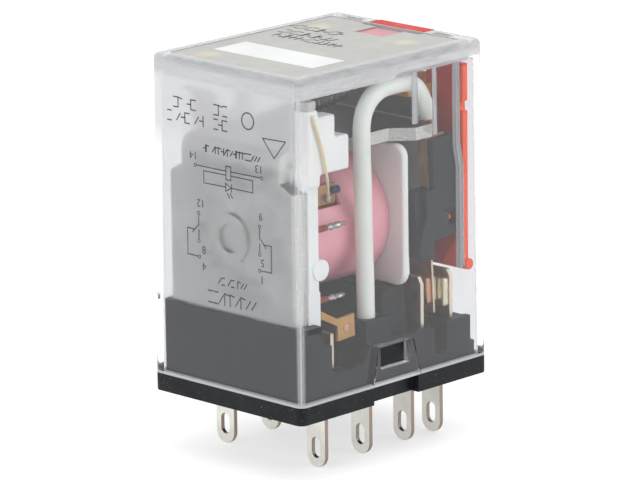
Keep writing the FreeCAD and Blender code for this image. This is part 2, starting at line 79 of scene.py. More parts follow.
class Shader:
    """One procedural material: a Principled shader and short calls that feed it."""

    def __init__(self, name, **values):
        self.name = name
        self.material = bpy.data.materials.new("finish_" + name)
        self.material.use_nodes = True
        self.tree = self.material.node_tree
        self.main = self.tree.nodes["Principled BSDF"]
        self.out = self.tree.nodes["Material Output"]
        for key, value in values.items():
            self.main.inputs[key.replace("_", " ")].default_value = value
        coordinates = self.tree.nodes.new("ShaderNodeTexCoord")
        self.place = coordinates.outputs["Object"]
        self.facing = coordinates.outputs["Normal"]

    def node(self, kind, **settings):
        made = self.tree.nodes.new("ShaderNode" + kind)
        for key, value in settings.items():
            setattr(made, key, value)
        return made

    def link(self, source, target):
        self.tree.links.new(source, target)

    def feed(self, value, target):
        """Links a socket, or sets a plain value."""
        if isinstance(value, bpy.types.NodeSocket):
            self.link(value, target)
        else:
            target.default_value = value

    def stretched(self, scale):
        """Object place with each axis scaled, for grain that runs one way."""
        mapping = self.node("Mapping")
        mapping.inputs["Scale"].default_value = scale
        self.link(self.place, mapping.inputs["Vector"])
        return mapping.outputs["Vector"]

    def noise(self, size_mm, detail=3.0, rough=0.5, place=None, distort=0.0):
        made = self.node("TexNoise")
        made.inputs["Scale"].default_value = 1 / (size_mm * MM)
        made.inputs["Detail"].default_value = detail
        made.inputs["Roughness"].default_value = rough
        made.inputs["Distortion"].default_value = distort
        self.link(place or self.place, made.inputs["Vector"])
        return made.outputs["Fac"]

    def ramp(self, value, *stops):
        """Colour ramp; each stop is (position, colour)."""
        made = self.node("ValToRGB")
        ends = made.color_ramp.elements
        while len(ends) < len(stops):
            ends.new(0.5)
        for element, (position, colour) in zip(ends, stops):
            element.position = position
            element.color = colour
        self.link(value, made.inputs["Fac"])
        return made.outputs["Color"]

    def spread(self, value, low, high, start=0.3, end=0.7):
        """Maps a stretch of a value to a range of plain numbers."""
        made = self.node("MapRange")
        for key, number in (("From Min", start), ("From Max", end), ("To Min", low), ("To Max", high)):
            made.inputs[key].default_value = number
        self.link(value, made.inputs["Value"])
        return made.outputs["Result"]

    def math(self, operation, first, second=0.0):
        made = self.node("Math", operation=operation)
        self.feed(first, made.inputs[0])
        self.feed(second, made.inputs[1])
        return made.outputs[0]

    def split(self, vector):
        made = self.node("SeparateXYZ")
        self.link(vector, made.inputs[0])
        return made.outputs

    def mix(self, share, first, second):
        """Colour between two colours or colour sockets."""
        made = self.node("Mix", data_type="RGBA")
        self.feed(share, made.inputs["Factor"])
        self.feed(first, made.inputs[6])
        self.feed(second, made.inputs[7])
        return made.outputs[2]

    def near(self, centre_mm, radius_mm, soft_mm):
        """1 inside a ball, fading to 0 over its soft edge."""
        away = self.node("VectorMath", operation="DISTANCE")
        self.link(self.place, away.inputs[0])
        away.inputs[1].default_value = Vector(centre_mm) * MM
        inner, outer = (radius_mm - soft_mm) * MM, (radius_mm + soft_mm) * MM
        return self.spread(away.outputs["Value"], 1, 0, inner, outer)

    def colour(self, socket):
        self.link(socket, self.main.inputs["Base Color"])
        return self

    def rough(self, socket):
        self.link(socket, self.main.inputs["Roughness"])
        return self

    def bump(self, height, depth_mm):
        made = self.node("Bump")
        made.inputs["Distance"].default_value = depth_mm * MM
        made.inputs["Strength"].default_value = 1.0
        self.link(height, made.inputs["Height"])
        self.link(made.outputs["Normal"], self.main.inputs["Normal"])
        return self


WHITE = (1, 1, 1, 1)
FLANGE_TOP = 2.2 * MM
CLEAR_TINTS = ((0.81, 0.822, 0.84, 1), (0.83, 0.84, 0.855, 1))
# grey for the milky parts of the cover and for its painted highlights and reflections
MILK_AND_PAINTED_LIGHT_TINT = (0.5, 0.505, 0.525, 1)
CLEAR_ROUGH = 0.03
FROST = 0.26
RIM_ROUGH = 0.12


def moulded(name, dark, light, rough, grain_mm=0.35, depth_mm=0.004, drift_mm=6.0, speckle=None, **values):
    """Moulded plastic: a little colour drift, a fine skin and optional bright speckles on the flange."""
    made = Shader(name, Roughness=rough, **values)
    tone = made.ramp(made.noise(drift_mm, 2), (0.35, dark), (0.7, light))
    if speckle:
        dots = made.spread(made.noise(0.16, 1, 0.6), 0, 1, 0.68, 0.78)
        low = made.math("LESS_THAN", made.split(made.place)[2], FLANGE_TOP)
        tone = made.mix(made.math("MULTIPLY", dots, low), tone, speckle)
    made.colour(tone)
    made.rough(made.spread(made.noise(1.3, 4), rough - 0.06, rough + 0.08))
    return made.bump(made.noise(grain_mm, 4), depth_mm)


ALONG_Z = (1, 1, 0.08)


def rolled(name, dark, light, rough, along=ALONG_Z):
    """Rolled strip metal with fine lines one way and slight tarnish."""
    made = Shader(name, Metallic=1.0, Roughness=rough)
    lines = made.noise(0.12, 3, place=made.stretched(along))
    made.colour(made.ramp(made.noise(2.2, 4), (0.3, dark), (0.7, light)))
    made.rough(made.spread(lines, rough - 0.08, rough + 0.12))
    return made.bump(lines, 0.003)


def sheared(name, face_dark, face_light, edge, rough, across=0, upper=None):
    """Stamped strip: satin faces across one axis and raw metal on its cut edges, or a painted highlight where
    the edge colour is paler than the faces.
    Above the base the faces may have another colour."""
    made = Shader(name, Metallic=1.0, Roughness=rough)
    lines = made.noise(0.12, 3, place=made.stretched(ALONG_Z))
    cloud = made.noise(2.2, 4)
    face = made.ramp(cloud, (0.3, face_dark), (0.7, face_light))
    turned = made.math("ABSOLUTE", made.split(made.facing)[across])
    on_face = made.spread(turned, 0, 1, 0.75, 0.95)
    torn = made.noise(0.18, 4, 0.7)
    cut = made.ramp(torn, (0.35, edge), (0.65, tuple(c * 1.2 for c in edge[:3]) + (1,)))
    if upper:
        above = made.spread(made.split(made.place)[2], 0, 1, 2 * MM, 3 * MM)
        face = made.mix(above, face, made.ramp(cloud, (0.3, upper[0]), (0.7, upper[1])))
        # above the base the cut edges take the third colour of upper, which may be a pale painted highlight
        cut = made.mix(above, cut, upper[2])
    made.colour(made.mix(on_face, cut, face))
    made.rough(made.spread(lines, rough - 0.08, rough + 0.12))
    height = made.math("ADD", lines, made.math("MULTIPLY", torn, made.math("SUBTRACT", 1.0, on_face)))
    return made.bump(height, 0.005)


def clear_plastic():
    """Clear moulded plastic. The coil-end wall is finely frosted and the rails are a little milky. The rim is
    a little milky, with grey streaks that are partly painted reflection. The foot lip carries a painted
    highlight, and the rounded corners carry a painted reflection band and a painted glint line. Rays from
    lamps pass straight through, and so do rays that have long been trapped in the walls."""
    made = Shader("clear_cover", IOR=1.43)
    made.bump(made.noise(4, 2), 0.012)
    x, y, z = made.split(made.place)
    across_x, across_y, _ = made.split(made.facing)
    deep = made.math("ABSOLUTE", y)
    turned = made.math("ABSOLUTE", made.math("MULTIPLY", across_x, across_y))
    streaks = made.noise(0.8, 4, 0.6, place=made.stretched((0.3, 0.3, 1.6)), distort=0.5)
    rim_start = made.spread(x, 33.65 * MM, 34.2 * MM, 0.2 * MM, 0.9 * MM)
    rim = made.math("GREATER_THAN", z, rim_start)
    below_rim = made.math("SUBTRACT", 1.0, rim)
    # the rim's streaked grey is partly milky plastic and partly painted reflection of the dark room in the
    # thick edge
    rim_milk_and_reflection = made.math("MULTIPLY", rim, made.spread(streaks, 0.45, 0.8))
    # painted highlight: the foot lip just above the flange is painted pale grey and made less clear
    foot_highlight = made.spread(z, 0.7, 0, 2.15 * MM, 2.25 * MM)
    # painted reflection: a pale band down each rounded vertical corner
    corner_reflection = made.math("MULTIPLY", below_rim, made.spread(turned, 0, 0.2, 0.2, 0.35))
    # painted highlight: a thin bright glint line down each vertical corner
    glint = made.math("MULTIPLY", below_rim, made.spread(turned, 0, 0.6, 0.488, 0.497))
    inside_wall = made.math("MULTIPLY", made.spread(deep, 1, 0, 9.5 * MM, 9.6 * MM),
                            made.spread(deep, 0, 1, 8.5 * MM, 8.6 * MM))
    rail_milk = made.math("MULTIPLY", made.math("MULTIPLY", inside_wall, below_rim),
                          made.math("MULTIPLY", made.spread(x, 0.8, 0, 12.1 * MM, 12.2 * MM),
                                    made.math("GREATER_THAN", x, 0.0)))
    end_wall = made.math("MULTIPLY", made.spread(x, 1, 0, -13.05 * MM, -12.95 * MM),
                         made.spread(made.math("ABSOLUTE", across_x), 0, 1, 0.8, 0.95))
    haze = made.math("MULTIPLY", end_wall, made.spread(z, 0.0, 0.6, 26 * MM, 28.5 * MM))
    # one mask for real milkiness and for the painted highlights and reflections: it greys the colour and
    # lowers transmission
    milk_and_painted_light = haze
    for part in (rim_milk_and_reflection, foot_highlight, corner_reflection, glint, rail_milk):
        milk_and_painted_light = made.math("MAXIMUM", milk_and_painted_light, part)
    clear = made.ramp(made.noise(20, 1), (0.3, CLEAR_TINTS[0]), (0.7, CLEAR_TINTS[1]))
    made.colour(made.mix(milk_and_painted_light, clear, MILK_AND_PAINTED_LIGHT_TINT))
    made.link(made.math("SUBTRACT", 1.0, milk_and_painted_light), made.main.inputs["Transmission Weight"])
    frost = made.math("MULTIPLY", end_wall, made.spread(z, 0, FROST, 9.7 * MM, 10.4 * MM))
    made.rough(made.math("ADD", made.math("ADD", CLEAR_ROUGH, frost), made.math("MULTIPLY", rim, RIM_ROUGH)))
    path = made.node("LightPath")
    trapped = made.math("MAXIMUM", made.math("GREATER_THAN", path.outputs["Ray Depth"], 7.5),
                        made.math("GREATER_THAN", path.outputs["Glossy Depth"], 1.5))
    through = made.node("BsdfTransparent")
    through.inputs["Color"].default_value = (0.99, 0.99, 0.99, 1)
    chooser = made.node("MixShader")
    made.link(made.math("MAXIMUM", path.outputs["Is Shadow Ray"], trapped), chooser.inputs[0])
    made.link(made.main.outputs[0], chooser.inputs[1])
    made.link(through.outputs[0], chooser.inputs[2])
    made.link(chooser.outputs[0], made.out.inputs["Surface"])
    return made


def label_plastic():
    """Grey label plate with paler, creamy moulding spots that shine through."""
    made = Shader("label_grey", Roughness=0.38)
    tone = made.ramp(made.noise(6, 2), (0.35, srgb(178, 179, 173)), (0.7, srgb(186, 187, 181)))
    for x, y in ((-10.2, 5.6), (7.0, 6.4), (7.1, -5.7)):
        spot = made.near((x, y, 35.7), 1.15, 0.5)
        tone = made.mix(made.math("MULTIPLY", spot, 0.6), tone, srgb(222, 205, 172))
    made.colour(tone)
    made.rough(made.spread(made.noise(1.3, 4), 0.32, 0.46))
    return made.bump(made.noise(0.5, 3), 0.003)


def yoke_steel():
    """Plated steel: grey faces, painted shade that makes the upward faces dark grey, and bright torn metal on
    the cut edges.
    """
    made = Shader("plated_steel", Metallic=1.0, Roughness=0.42)
    _, y, z = made.split(made.facing)
    cloud = made.noise(3.5, 4, 0.55)
    face = made.ramp(cloud, (0.3, srgb(172, 172, 171)), (0.7, srgb(190, 190, 189)))
    # painted shade: upward faces, and everything higher than the yoke plate's level, are painted dark grey
    painted_dark_upper = made.ramp(cloud, (0.3, srgb(78, 78, 80)), (0.7, srgb(96, 96, 98)))
    above = made.spread(made.split(made.place)[2], 0, 1, 27.8 * MM, 28.0 * MM)
    face = made.mix(made.math("MAXIMUM", above, made.spread(z, 0, 1, 0.6, 0.95)), face, painted_dark_upper)
    torn = made.noise(0.13, 4, 0.7)
    cut = made.ramp(torn, (0.35, srgb(158, 157, 152)), (0.6, srgb(232, 231, 226)))
    side = made.spread(made.math("ABSOLUTE", y), 0, 1, 0.55, 0.8)
    made.colour(made.mix(side, face, cut))
    made.rough(made.spread(made.noise(0.8, 4), 0.36, 0.5))
    ragged = made.math("MULTIPLY", torn, made.math("MULTIPLY", side, 2.0))
    return made.bump(made.math("ADD", made.noise(0.25, 4), ragged), 0.006)


def nylon(name, dark, light, rough, deep_mm):
    """Milky nylon that glows a little where light enters it."""
    made = Shader(name, Roughness=rough, Subsurface_Weight=0.35, Subsurface_Scale=deep_mm * MM)
    made.colour(made.ramp(made.noise(5, 2), (0.3, dark), (0.7, light)))
    made.rough(made.spread(made.noise(0.9, 4), rough - 0.05, rough + 0.1))
    return made.bump(made.noise(0.6, 3), 0.006)


def tape():
    """Polyester tape: satin pink film with faint stretch lines round the coil."""
    made = Shader("pink_tape", Roughness=0.34, Coat_Weight=0.25)
    made.main.inputs["Coat Roughness"].default_value = 0.2
    made.colour(made.ramp(made.noise(3.5, 3), (0.3, srgb(244, 164, 176)), (0.7, srgb(249, 178, 189))))
    lines = made.noise(0.45, 3, place=made.stretched((1, 0.12, 0.12)))
    made.rough(made.spread(lines, 0.28, 0.44))
    return made.bump(made.math("ADD", lines, made.noise(2.4, 2)), 0.012)


def braid():
    """Bare copper strands with a darker and lighter tone that varies at random."""
    made = Shader("copper_braid", Metallic=1.0, Roughness=0.35)
    made.colour(made.ramp(made.noise(0.5, 3), (0.3, srgb(165, 95, 62)), (0.7, srgb(215, 145, 105))))
    return made.bump(made.noise(0.15, 3), 0.006)


def red_plastic():
    """Red plastic that lets some light through; its long edges and lower corners are painted orange, a
    painted highlight where light falls on them.
    """
    made = Shader("red_plastic", Roughness=0.36, Subsurface_Weight=0.3, Subsurface_Scale=0.8 * MM,
                  Specular_IOR_Level=0.12)
    _, y, z = made.split(made.place)
    deep = made.math("ABSOLUTE", y)
    # painted light: the lower corners widen the orange lit area, where light falls on the plate
    corner = made.math("MULTIPLY", made.math("MAXIMUM", made.math("SUBTRACT", 14.9 * MM, z), 0.0), 0.65)
    edge = made.spread(made.math("ADD", deep, corner), 0, 1, 8.05 * MM, 8.35 * MM)
    edge = made.math("MULTIPLY", edge, made.spread(z, 1, 0, 32.9 * MM, 33.2 * MM))
    plain = made.ramp(made.noise(6, 2), (0.35, srgb(206, 20, 14)), (0.7, srgb(218, 30, 22)))
    # painted light: lit edges and corners are mixed to orange over the plain red
    made.colour(made.mix(edge, plain, srgb(255, 96, 56)))
    made.rough(made.spread(made.noise(1.3, 4), 0.3, 0.44))
    return made.bump(made.noise(0.35, 4), 0.004)


def materials():
    made = [
        moulded("black_phenolic", srgb(14, 16, 21), srgb(21, 23, 29), 0.48, grain_mm=0.2, depth_mm=0.001,
                speckle=srgb(96, 99, 104), Specular_IOR_Level=0.22),
        clear_plastic(),
        label_plastic(),
        yoke_steel(),
        rolled("copper", srgb(170, 100, 70), srgb(200, 125, 90), 0.35),
        nylon("white_nylon", srgb(240, 240, 237), srgb(247, 247, 245), 0.35, 1.2),
        rolled("enamelled_wire", srgb(140, 60, 30), srgb(170, 80, 40), 0.3, along=(1, 0.1, 0.1)),
        tape(),
        rolled("tinned_pin", srgb(180, 177, 170), srgb(215, 212, 205), 0.28, along=(0.1, 1, 1)),
        moulded("tan_board", srgb(186, 146, 98), srgb(204, 166, 118), 0.5, grain_mm=0.2, depth_mm=0.008),
        moulded("blue_resistor", srgb(36, 46, 90), srgb(46, 58, 108), 0.25),
        moulded("led", srgb(222, 222, 216), srgb(236, 236, 230), 0.15, Transmission_Weight=0.35),
        moulded("cream_wire", srgb(222, 208, 170), srgb(234, 222, 188), 0.4, Subsurface_Weight=0.2,
                Subsurface_Scale=0.0004),
        rolled("spring_steel", srgb(104, 102, 99), srgb(148, 145, 140), 0.32),
        moulded("grey_moulding", srgb(26, 30, 37), srgb(38, 42, 50), 0.55, grain_mm=0.25, depth_mm=0.003,
                Specular_IOR_Level=0.35),
        moulded("amber_plastic", srgb(206, 140, 40), srgb(222, 160, 56), 0.3, Subsurface_Weight=0.15,
                Subsurface_Scale=0.0008),
        red_plastic(),
        # the pale third colour of upper is a painted highlight on the strips' cut edges above the base
        sheared("blade_metal", srgb(212, 211, 203), srgb(230, 229, 222), srgb(144, 130, 120), 0.34,
                upper=(srgb(176, 132, 104), srgb(206, 170, 146), srgb(232, 216, 198))),
        sheared("brass_strip", srgb(184, 142, 88), srgb(204, 164, 108), srgb(196, 158, 112), 0.36, across=1),
        rolled("contact_silver", srgb(214, 206, 184), srgb(236, 229, 208), 0.3),
        # painted shade: a darker salmon-brown copy of the contact silver for the shaded back half of each
        # moving contact
        rolled("contact_silver_shaded", srgb(186, 138, 108), srgb(206, 160, 130), 0.35),
        # painted highlight: the spring's cut edges are painted paler than its faces
        sheared("spring_bronze", srgb(178, 128, 98), srgb(206, 162, 132), srgb(214, 190, 165), 0.34),
        nylon("white_sleeve", srgb(240, 237, 229), srgb(246, 244, 237), 0.42, 0.8),
        braid(),
        rolled("solder", srgb(150, 150, 152), srgb(205, 205, 206), 0.22, along=(1, 1, 1)),
        moulded("print_ink", srgb(58, 58, 60), srgb(72, 72, 74), 0.6),
        rolled("weld", srgb(196, 140, 112), srgb(214, 164, 140), 0.3, along=(1, 1, 1)),
        moulded("flag_window", srgb(196, 96, 108), srgb(206, 110, 121), 0.25, Coat_Weight=0.2),
        moulded("print_white", srgb(232, 233, 233), srgb(240, 241, 241), 0.45),
    ]
    return {m.name: m.material for m in made}


FINISHES = materials()

# ------------------------------------------------------------------ mesh helpers, all in millimetres


def add_piece(name, parts, body, slot=None, finish=None, replaces=(), sharp_deg=40, bend=None):
    """One piece from parts of (points, faces). It rides on body; with a bend line it keeps its world place
    and rides on no body, and the line itself is not used.
    """
    points, faces = [], []
    for some, polygons in parts:
        start = len(points)
        points += [Vector(p) * MM for p in some]
        faces += [[start + i for i in polygon] for polygon in polygons]
    mesh = bpy.data.meshes.new(name)
    mesh.from_pydata(points, [], faces)
    work = bmesh.new()
    work.from_mesh(mesh)
    bmesh.ops.recalc_face_normals(work, faces=work.faces)
    work.to_mesh(mesh)
    work.free()
    mesh.shade_smooth()
    mesh.set_sharp_from_angle(angle=math.radians(sharp_deg))
    return own_piece(name, mesh, body, slot, finish, replaces, bend)


def own_piece(name, mesh, body, slot, finish=None, replaces=(), bend=None):
    """The scene object of a mesh, with its finish and the nodes it stands for; it follows its body unless it
    has a bend line.
    """
    mesh.materials.clear()
    mesh.materials.append(FINISHES[finish or slot])
    piece = bpy.data.objects.new(name, mesh)
    bpy.context.scene.collection.objects.link(piece)
    if replaces:
        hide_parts(*replaces)
    if bend:
        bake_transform(piece)
    else:
        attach(piece, body)
    return piece


def carried_frames(path):
    """Direction and two cross directions at each point, carried along without twist."""
    count = len(path)
    ahead = [(path[min(i + 1, count - 1)] - path[max(i - 1, 0)]).normalized() for i in range(count)]
    side = ahead[0].orthogonal().normalized()
    frames = []
    for i, heading in enumerate(ahead):
        if i:
            side = ahead[i - 1].rotation_difference(heading) @ side
        side = (side - heading * side.dot(heading)).normalized()
        frames.append((heading, side, heading.cross(side)))
    return frames


def ring_band(rings, sides, closed=False):
    """Quads between rings of points that follow each other."""
    faces = []
    count = len(rings) // sides
    for i in range(count if closed else count - 1):
        low, high = i * sides, (i + 1) % count * sides
        for k in range(sides):
            faces.append([low + k, low + (k + 1) % sides, high + (k + 1) % sides, high + k])
    if not closed:
        faces.append(list(range(sides))[::-1])
        faces.append(list(range(len(rings) - sides, len(rings))))
    return faces


def tube(path, radius, sides=12, flat=1.0):
    """Round or flattened tube along a path."""
    points = []
    for place, (_, side, up) in zip(path, carried_frames(path)):
        for k in range(sides):
            turn = math.tau * k / sides
            points.append(place + (side * math.cos(turn) + up * math.sin(turn) * flat) * radius)
    return points, ring_band(points, sides)


def sleeve(path, outer, inner, sides=22):
    """Hollow tube with softly rounded ends."""
    frames = carried_frames(path)
    last = len(path) - 1
    trail = [(i, outer(i / last)) for i in range(last + 1)] + [(last, (outer(1) + inner) / 2 + 0.05)]
    trail += [(i, inner) for i in range(last, -1, -1)]
    points = []
    for order, (i, size) in enumerate(trail):
        heading, side, up = frames[i]
        lip = heading * 0.07 if order == last + 1 else Vector()
        for k in range(sides):
            turn = math.tau * k / sides
            points.append(path[i] + lip + (side * math.cos(turn) + up * math.sin(turn)) * size)
    return points, ring_band(points, sides, closed=True)


def lathe(start, direction, profile, sides=32, lump=None):
    """Turned shape; profile is (distance along the axis, radius). lump varies the radius by place."""
    foot = Vector(start)
    heading = Vector(direction).normalized()
    side = heading.orthogonal().normalized()
    up = heading.cross(side)
    points = []
    for along, size in profile:
        for k in range(sides):
            turn = math.tau * k / sides
            more = lump(along, turn) if lump else 1.0
            outwards = side * math.cos(turn) + up * math.sin(turn)
            points.append(foot + heading * along + outwards * size * more)
    return points, ring_band(points, sides)


def rounded_route(corners, radii, step=0.3):
    """Straight runs joined by arcs, with points about a step apart, then eased to bend like a real lead."""
    route = [corners[0]]
    for corner, before, after, radius in zip(corners[1:], corners, corners[2:], radii):
        back, ahead = (before - corner).normalized(), (after - corner).normalized()
        half = back.angle(ahead) / 2
        run = radius / math.tan(half)
        centre = corner + (back + ahead).normalized() * (radius / math.sin(half))
        first = (corner + back * run - centre).normalized()
        last = (corner + ahead * run - centre).normalized()
        for i in range(17):
            route.append(centre + first.slerp(last, i / 16) * radius)
    route.append(corners[-1])
    return eased(evenly(route, step), 14)


def evenly(route, step):
    """The same line with points a step apart."""
    lengths = [(b - a).length for a, b in zip(route, route[1:])]
    count = max(2, round(sum(lengths) / step))
    spaced, at, passed = [route[0].copy()], 0, 0.0
    for i in range(1, count):
        wanted = sum(lengths) * i / count
        while passed + lengths[at] < wanted:
            passed += lengths[at]
            at += 1
        spaced.append(route[at].lerp(route[at + 1], (wanted - passed) / lengths[at]))
    return spaced + [route[-1].copy()]


def eased(route, passes):
    """The route with each inner point drawn towards its neighbours, several times over."""
    for _ in range(passes):
        middle = [(a + b * 2 + c) / 4 for a, b, c in zip(route, route[1:], route[2:])]
        route = [route[0]] + middle + [route[-1]]
    return route


def helix(start, end, radius, turns, per_turn=18, start_turn=0.0):
    """Points of a round coil from start to end."""
    heading = (end - start).normalized()
    side = heading.orthogonal().normalized()
    up = heading.cross(side)
    count = round(turns * per_turn)
    route = []
    for i in range(count + 1):
        turn = start_turn + math.tau * i / per_turn
        route.append(start.lerp(end, i / count) + (side * math.cos(turn) + up * math.sin(turn)) * radius)
    return route


def block(low, high):
    """Flat slab between two corners."""
    corners = [(x, y, z) for z in (low[2], high[2]) for y in (low[1], high[1]) for x in (low[0], high[0])]
    return corners, [[0, 2, 3, 1], [4, 5, 7, 6], [0, 1, 5, 4], [2, 6, 7, 3], [0, 4, 6, 2], [1, 3, 7, 5]]


def softened(node, body, slot, width=0.07):
    """A CAD node drawn again with a fine radius on its hard edges."""
    mesh = NODES[node].data.copy()
    work = bmesh.new()
    work.from_mesh(mesh)
    bmesh.ops.remove_doubles(work, verts=work.verts, dist=1e-6)
    bmesh.ops.dissolve_limit(work, angle_limit=math.radians(0.5), verts=work.verts, edges=work.edges)
    hard = [e for e in work.edges if len(e.link_faces) == 2 and e.calc_face_angle() > math.radians(32)]
    bmesh.ops.bevel(work, geom=hard, offset=width * MM, offset_type="OFFSET", segments=2, profile=0.5,
                    affect="EDGES", clamp_overlap=False, miter_outer="ARC")
    bmesh.ops.remove_doubles(work, verts=work.verts, dist=2e-7)
    bmesh.ops.recalc_face_normals(work, faces=work.faces)
    work.to_mesh(mesh)
    work.free()
    mesh.shade_smooth()
    mesh.set_sharp_from_angle(angle=math.radians(42))
    piece = own_piece(node + "_edged", mesh, body, slot, replaces=(node,))
    weighted = piece.modifiers.new("even_faces", "WEIGHTED_NORMAL")
    weighted.keep_sharp = True
    return piece


def each_side(points_and_faces, sign):
    """The left-hand part as it is, or mirrored to the right."""
    points, faces = points_and_faces
    if sign < 0:
        return points, faces
    return [(p[0], -p[1], p[2]) for p in points], [f[::-1] for f in faces]


# ------------------------------------------------------------------ the relay

OPEN_DEG = 3.2
PIVOT = Vector((7.1, 0, 27.0))
CORE_Z = 17.8


def swung_open(part):
    """Turns an armature part from its closed place to its resting one, about the end of the yoke."""
    turn = Matrix.Rotation(math.radians(-OPEN_DEG), 3, "Y")
    points, faces = part
    return [turn @ (Vector(p) - PIVOT) + PIVOT for p in points], faces


def add_return_spring():
    """Close-wound tension spring between the post on the yoke and the slot of the armature."""
    start, end = Vector((-8.2, 0, 29.0)), Vector((7.25, 0, 31.05))
    heading = (end - start).normalized()
    coil_end = start + heading * 11.7
    coils = helix(start, coil_end, 0.8, 32.5, start_turn=math.pi)
    post = Vector((-9.2, 0, 28.9))
    around_post = [math.radians(degrees) for degrees in range(35, 340, 15)]
    hook = [post + Vector((math.cos(a), math.sin(a), 0)) * 0.66 for a in around_post]
    tail = [(4.6, 0, 30.3), (5.6, 0, 30.55), (7.0, 0, 30.72), (8.2, 0, 30.72), (8.95, 0, 30.75),
            (9.2, 0, 30.95), (9.1, 0, 31.2), (8.85, 0, 31.28)]
    first = eased(evenly(hook + [coils[0]], 0.12), 3)
    last = eased(evenly([coils[-1]] + [Vector(p) for p in tail], 0.12), 3)
    wire = tube(first[:-1] + coils + last[1:], 0.17, sides=8)
    add_piece("return_spring_coils", [wire], ("relay", "armature"), "spring_steel",
              replaces=("return_spring",), bend=(start, end))


LEAD_CORNERS = ((-1.95, -8.0, 6.65), (-2.75, -8.25, 32.4), (5.6, -8.1, 32.5), (7.75, -7.8, 28.3))
LEAD_BENDS = (3.5, 3.0)
SLEEVE_RADIUS, SLEEVE_BORE = 0.93, 0.66
BRAID_TAIL = 1.75
STRAND_RADIUS, STRAND_CIRCLE, STRAND_PITCH = 0.18, 0.335, 4.2


def lead_route(beyond):
    """Left lead: up out of its post, over the yoke and down to the armature, and some way beyond."""
    corners = [Vector(p) for p in LEAD_CORNERS]
    corners[3] += (corners[3] - corners[2]).normalized() * beyond
    return rounded_route(corners, LEAD_BENDS)


def add_leads():
    """Silicone sleeves with their bare twisted copper inside."""
    for side, sign in SIDES:
        def wobble(share, phase=1.3 * sign):
            return SLEEVE_RADIUS + 0.012 * math.sin(share * 21 + phase) + 0.008 * math.sin(share * 47)

        skin = sleeve(lead_route(0), wobble, SLEEVE_BORE)
        add_piece("sleeve_" + side, [each_side(skin, sign)], "relay", "white_sleeve",
                  replaces=("lead_sleeve_" + side,), sharp_deg=60)
        route = lead_route(BRAID_TAIL)
        frames = carried_frames(route)
        strands = [tube(route, STRAND_RADIUS, sides=7)]
        for k in range(6):
            around = []
            for i, (place, (_, across, up)) in enumerate(zip(route, frames)):
                turn = math.tau * (k / 6 + i * 0.3 / STRAND_PITCH)
                around.append(place + (across * math.cos(turn) + up * math.sin(turn)) * STRAND_CIRCLE)
            strands.append(tube(around, STRAND_RADIUS, sides=7))
        y = sign * 8.0
        add_piece("braid_" + side, [each_side(s, sign) for s in strands], ("relay", "armature"),
                  "copper_braid", replaces=("flex_lead_" + side,), bend=((3.0, y, 31.0), (8.0, y, 30.6)))


def add_tape():
    """Tape round the winding, with its overlapped end, soft puckers and the cut-out over the small board."""
    back, front, inner, outer = -9.4, 3.0, 6.3, 6.78
    low, high, window_front = math.radians(25.2), math.radians(45.1), -3.6
    turns = sorted({round(low, 6), round(high, 6)} | {math.tau * k / 144 - 1.0 for k in range(144)})
    stations = [back, back + 0.06] + [back + 0.06 + 0.31 * k for k in range(1, 18)]
    stations = [x for x in stations if x < window_front - 0.1] + [window_front]
    stations += [window_front + 0.33 * k for k in range(1, 20) if window_front + 0.33 * k < front - 0.1]
    stations += [front - 0.06, front]

    def surface(x, turn):
        lap = math.radians(-62)
        rise = 0.055 * math.exp(-max(0.0, (turn - lap)) * 1.1) if turn > lap else 0.0
        pucker = 0.012 * math.sin(turn * 9 + x * 0.8) + 0.01 * math.sin(turn * 4 - x * 1.7)
        edge = 0.07 if x in (back, front) else 0.0
        return outer - 0.05 + rise + pucker - edge

    def spot(radius, x, turn):
        return (x, -radius * math.cos(turn), CORE_Z + radius * math.sin(turn))

    points, faces, index = [], [], {}
    for i, x in enumerate(stations):
        for k, turn in enumerate(turns):
            for layer, radius in ((0, inner), (1, surface(x, turn))):
                index[i, k, layer] = len(points)
                points.append(spot(radius, x, turn))

    def kept(i, k):
        middle_x = (stations[i] + stations[i + 1]) / 2
        following = turns[(k + 1) % len(turns)]
        middle = (turns[k] + following) / 2 if following > turns[k] else turns[k]
        return not (middle_x < window_front and low < middle < high)

    count = len(turns)
    for i in range(len(stations) - 1):
        for k in range(count):
            if not kept(i, k):
                continue
            j = (k + 1) % count
            faces.append([index[i, k, 1], index[i + 1, k, 1], index[i + 1, j, 1], index[i, j, 1]])
            faces.append([index[i, k, 0], index[i, j, 0], index[i + 1, j, 0], index[i + 1, k, 0]])
            if i == 0 or not kept(i - 1, k):
                faces.append([index[i, k, 0], index[i, k, 1], index[i, j, 1], index[i, j, 0]])
            if i == len(stations) - 2 or not kept(i + 1, k):
                faces.append([index[i + 1, k, 0], index[i + 1, j, 0], index[i + 1, j, 1], index[i + 1, k, 1]])
            if not kept(i, k - 1 if k else count - 1):
                faces.append([index[i, k, 0], index[i + 1, k, 0], index[i + 1, k, 1], index[i, k, 1]])
            if not kept(i, j):
                faces.append([index[i, j, 0], index[i, j, 1], index[i + 1, j, 1], index[i + 1, j, 0]])
    add_piece("tape_wrap", [(points, faces)], "relay", "pink_tape", replaces=("coil_tape",), sharp_deg=50)


